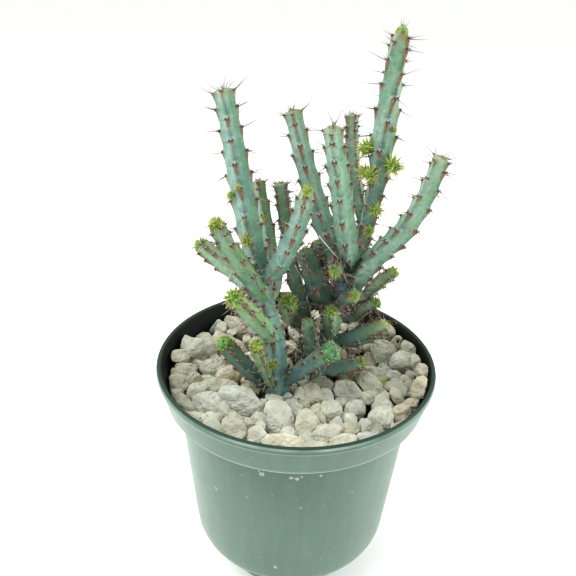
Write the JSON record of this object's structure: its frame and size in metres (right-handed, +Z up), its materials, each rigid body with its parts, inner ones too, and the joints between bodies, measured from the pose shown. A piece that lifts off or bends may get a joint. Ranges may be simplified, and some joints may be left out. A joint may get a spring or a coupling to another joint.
{
  "type": "potted euphorbia",
  "caption": "Clump of four-angled, spiny succulent stems growing through pumice gravel in a round tapered nursery pot with a deep collar.",
  "frame": {"origin": "centre of the flat foot on the underside of the pot, on the surface the pot stands on", "axes": "+Z up along the pot's axis, towards the stem tips; +X to the right and +Y away from the viewer in the picture's view"},
  "size_m": [0.1048, 0.1048, 0.2097],
  "materials": {
    "pot_plastic": "satin",
    "potting_mix": "matte",
    "pumice": "matte",
    "stem_skin": "satin",
    "young_stem": "satin",
    "spine": "matte"
  },
  "bodies": {
    "root": {"bud_stem_left": "young_stem", "bud_stem_mid": "young_stem", "pot": "pot_plastic", "potting_mix": "potting_mix", "pumice_bed": "pumice", "pumice_stone_01": "pumice", "pumice_stone_02": "pumice", "pumice_stone_03": "pumice", "pumice_stone_04": "pumice", "pumice_stone_05": "pumice", "pumice_stone_06": "pumice", "pumice_stone_07": "pumice", "pumice_stone_08": "pumice", "pumice_stone_09": "pumice", "pumice_stone_10": "pumice", "pumice_stone_11": "pumice", "pumice_stone_12": "pumice", "pumice_stone_13": "pumice", "pumice_stone_14": "pumice", "pumice_stone_15": "pumice", "pumice_stone_16": "pumice", "pumice_stone_17": "pumice", "pumice_stone_18": "pumice", "pumice_stone_19": "pumice", "pumice_stone_20": "pumice", "pumice_stone_21": "pumice", "pumice_stone_22": "pumice", "pumice_stone_23": "pumice", "pumice_stone_24": "pumice", "pumice_stone_25": "pumice", "pumice_stone_26": "pumice", "pumice_stone_27": "pumice", "pumice_stone_28": "pumice", "pumice_stone_29": "pumice", "pumice_stone_30": "pumice", "sprout_front": "young_stem", "sprout_left": "young_stem", "sprout_right_high": "young_stem", "sprout_right_low": "young_stem", "stem_back_left": "stem_skin", "stem_back_mid": "stem_skin", "stem_back_right": "stem_skin", "stem_far_left": "stem_skin", "stem_front_left": "stem_skin", "stem_front_right": "stem_skin", "stem_ground_right": "stem_skin", "stem_low_left": "stem_skin", "stem_low_right": "stem_skin", "stem_mid_dark": "stem_skin", "stem_mid_front": "stem_skin", "stem_mid_tall": "stem_skin", "stem_right_arch": "stem_skin", "stem_v_branch": "stem_skin", "stub_centre": "stem_skin", "stub_mid_back": "stem_skin", "stub_mid_front": "young_stem", "stub_right_front": "young_stem", "trunk_left": "stem_skin", "trunk_right": "stem_skin"}
  },
  "joints": []
}
